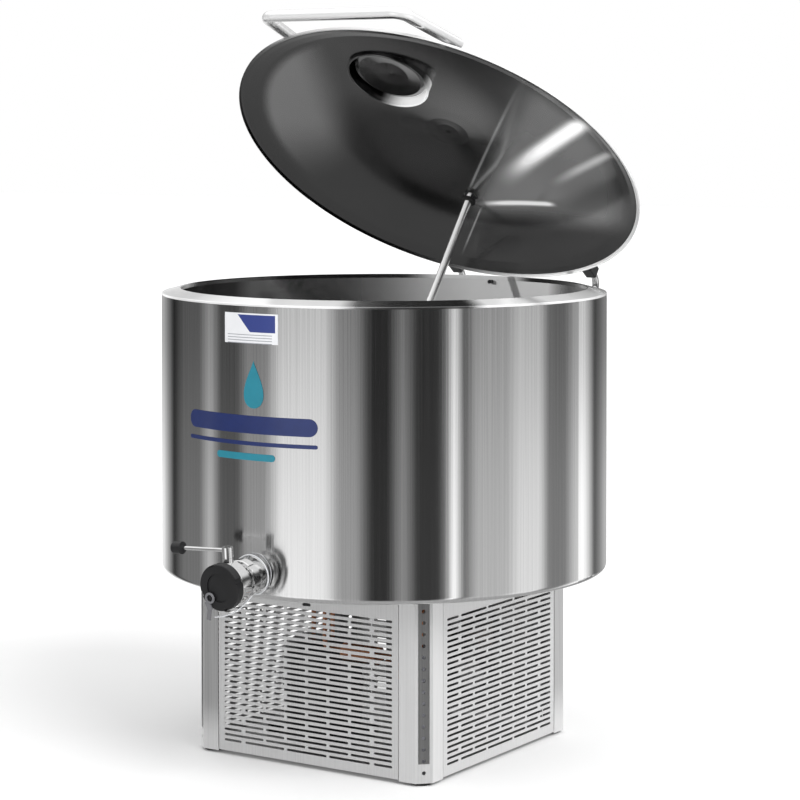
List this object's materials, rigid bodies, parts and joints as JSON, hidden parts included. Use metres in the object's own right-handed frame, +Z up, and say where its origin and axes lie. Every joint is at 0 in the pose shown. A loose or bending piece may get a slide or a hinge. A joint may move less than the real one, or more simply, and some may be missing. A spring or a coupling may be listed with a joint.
{
  "type": "bulk milk tank",
  "caption": "Round insulated milk cooling tank on a square vented base, with a hinged conical lid, agitator, hatch and front outlet valve.",
  "frame": {"origin": "centre of the square base's footprint, on the floor", "axes": "+Z up, -Y towards the outlet valve, +X to the right when facing the outlet"},
  "size_m": [0.9599, 1.2246, 1.5792],
  "materials": {
    "brushed_jacket": "vertical satin brushing on rolled stainless sheet",
    "vessel_steel": "cold-rolled stainless, soft mirror",
    "polished_steel": "polished stainless",
    "chrome_steel": "polished stainless rod",
    "lid_steel": "cold-rolled stainless, near mirror",
    "base_sheet": "satin stainless sheet",
    "galvanised_sheet": "galvanised",
    "zinc_steel": "zinc plated",
    "foam": "rigid foam",
    "label_film": "printed film, plain",
    "black_plastic": "moulded",
    "grey_plastic": "moulded",
    "black_rubber": "moulded",
    "black_enamel": "gloss enamel",
    "motor_enamel": "gloss enamel",
    "cast_aluminium": "die-cast",
    "coil_aluminium": "mill",
    "copper_pipe": "drawn copper",
    "display_glass": "gloss",
    "switch_green": "moulded"
  },
  "bodies": {
    "tank": {"outer_jacket": "brushed_jacket", "jacket_bottom": "brushed_jacket", "inner_vessel": "vessel_steel", "rim_ring": "polished_steel", "insulation_foam": "foam", "evaporator_plate": "vessel_steel", "dipstick": "vessel_steel", "temperature_probe": "black_plastic", "rating_plate": "label_film", "hinge_brackets": "polished_steel", "hinge_shaft": "chrome_steel", "hinge_springs": "chrome_steel", "bracket_bolts": "zinc_steel", "union_nut": "polished_steel", "outlet_pipe": "polished_steel", "valve_body": "polished_steel", "valve_bolts": "zinc_steel", "valve_seat": "black_rubber", "corner_posts": "base_sheet", "leg_channels": "base_sheet", "foot_pads": "black_rubber", "side_panels": "base_sheet", "panel_screws": "black_plastic", "base_top_frame": "base_sheet", "base_tray": "galvanised_sheet", "compressor": "black_enamel", "compressor_mounts": "black_rubber", "condenser_coil": "coil_aluminium", "fan_shroud": "galvanised_sheet", "fan_motor": "black_enamel", "liquid_receiver": "black_enamel", "filter_drier": "copper_pipe", "refrigerant_pipes": "copper_pipe", "control_box": "grey_plastic", "control_display": "display_glass", "power_cable": "black_rubber"},
    "lid": {"lid_shell": "lid_steel", "hatch_collar": "polished_steel", "lid_handle": "polished_steel", "handle_feet": "polished_steel", "lid_arms": "chrome_steel", "arm_clamps": "black_plastic", "lid_cross_bar": "chrome_steel", "motor_flange": "polished_steel", "shaft_bearing": "grey_plastic", "gearbox": "cast_aluminium", "agitator_motor": "motor_enamel"},
    "agitator": {"agitator_shaft": "chrome_steel", "shaft_collar": "black_rubber", "agitator_paddle": "vessel_steel"},
    "hatch": {"hatch_cover": "lid_steel", "hatch_seal": "black_rubber"},
    "valve": {"valve_disc": "polished_steel", "valve_lever": "polished_steel", "lever_knob": "black_plastic"},
    "cap": {"outlet_cap": "black_plastic", "cap_strap": "grey_plastic"},
    "fan": {"fan_blades": "coil_aluminium"},
    "rocker": {"switch_rocker": "switch_green"},
    "thermostat": {"thermostat_knob": "black_plastic"}
  },
  "joints": [
    {"name": "lid_hinge", "type": "hinge", "parent": "tank", "child": "lid", "pos_m": [0, 0.519, 0.802], "axis": [-1, 0, 0], "range_deg": [-36.7, 33.3]},
    {"name": "agitator_spin", "type": "hinge", "parent": "lid", "child": "agitator", "pos_m": [-0.035, 0.39359, 1.14243], "axis": [0, 0.5976, 0.8018], "continuous": true},
    {"name": "hatch_lift", "type": "slide", "parent": "lid", "child": "hatch", "axis": [0, 0.5976, 0.8018], "range_m": [0, 0.12]},
    {"name": "valve_turn", "type": "hinge", "parent": "tank", "child": "valve", "pos_m": [0, -0.55865, 0.42552], "axis": [0, -0.0924, 0.9957], "range_deg": [0, 90]},
    {"name": "cap_pull", "type": "slide", "parent": "tank", "child": "cap", "axis": [0, -0.9957, -0.0924], "range_m": [0, 0.06]},
    {"name": "fan_spin", "type": "hinge", "parent": "tank", "child": "fan", "pos_m": [0.06, 0.19, 0.18], "axis": [0, 1, 0], "continuous": true},
    {"name": "switch_rock", "type": "hinge", "parent": "tank", "child": "rocker", "pos_m": [-0.058, 0.3472, 0.285], "axis": [1, 0, 0], "range_deg": [-8, 8]},
    {"name": "thermostat_turn", "type": "hinge", "parent": "tank", "child": "thermostat", "pos_m": [0.046, 0.35, 0.285], "axis": [0, 1, 0], "range_deg": [-140, 140]}
  ]
}
